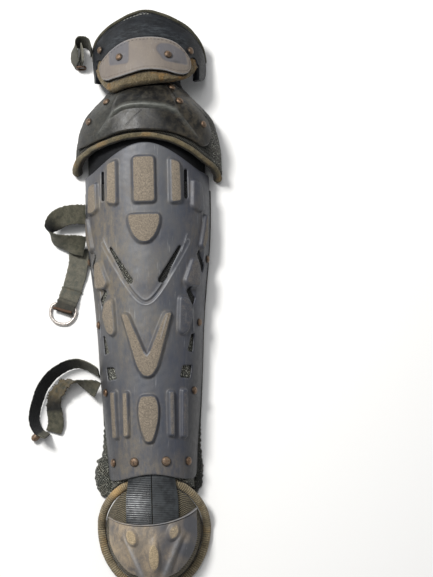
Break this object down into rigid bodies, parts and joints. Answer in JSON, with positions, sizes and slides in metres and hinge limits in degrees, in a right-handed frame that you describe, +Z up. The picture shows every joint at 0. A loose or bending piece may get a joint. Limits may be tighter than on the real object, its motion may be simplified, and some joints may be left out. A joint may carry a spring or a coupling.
{
  "type": "baseball catcher leg guard",
  "caption": "Arched catcher's leg guard with ribbed shin shell, knee cap, thigh flap, toe cap and webbing straps, lying unfastened on its back.",
  "frame": {"origin": "centre of the bounding box at the floor that the guard lies on", "axes": "+Y from the toe cap along the guard to the thigh flap, +Z up out of the front of the shin, +X across to the wearer's left as the picture shows the guard"},
  "size_m": [0.2434, 0.7158, 0.0908],
  "materials": {
    "shin_shell": "scuffed matte",
    "knee_shell": "dusty satin with fine cracks",
    "toe_shell": "dusty matte",
    "thigh_plate": "worn matte",
    "thigh_pad": "coated cloth over foam",
    "bumper": "dusty padded roll",
    "mesh": "knitted mesh over foam",
    "link": "black cloth",
    "binding": "dusty ribbed tape",
    "piping": "dusty cord piping",
    "ankle_strap": "black ribbed elastic",
    "webbing": "worn olive grey webbing",
    "rivet": "dull copper, dusty",
    "buckle": "rusty wire"
  },
  "bodies": {
    "root": {"shin_shell": "shin_shell", "shin_liner": "mesh", "shin_rivet_1": "rivet", "shin_rivet_2": "rivet", "shin_rivet_3": "rivet", "shin_rivet_4": "rivet", "shin_rivet_5": "rivet", "shin_rivet_6": "rivet", "shin_rivet_7": "rivet", "shin_rivet_8": "rivet", "shin_rivet_9": "rivet", "shin_rivet_10": "rivet", "knee_link": "link", "knee_liner": "mesh", "knee_hem": "binding", "knee_shell": "knee_shell", "knee_rivet_1": "rivet", "knee_rivet_2": "rivet", "knee_rivet_3": "rivet", "knee_rivet_4": "rivet", "knee_rivet_5": "rivet", "thigh_link": "link", "thigh_pad": "thigh_pad", "thigh_piping": "piping", "thigh_bumper": "bumper", "thigh_plate": "thigh_plate", "thigh_rivet_1": "rivet", "thigh_rivet_2": "rivet", "thigh_rivet_3": "rivet", "thigh_rivet_4": "rivet", "toe_shell": "toe_shell", "toe_piping": "piping", "toe_liner": "mesh", "toe_binding": "binding", "ankle_strap_left": "ankle_strap", "ankle_strap_right": "ankle_strap", "calf_strap_upper": "webbing", "calf_strap_tail": "webbing", "calf_strap_lower": "webbing", "calf_strap_return": "webbing", "thigh_strap": "webbing", "thigh_strap_tab": "webbing", "calf_buckle": "buckle", "calf_snap": "rivet", "thigh_hook": "buckle"}
  },
  "joints": []
}
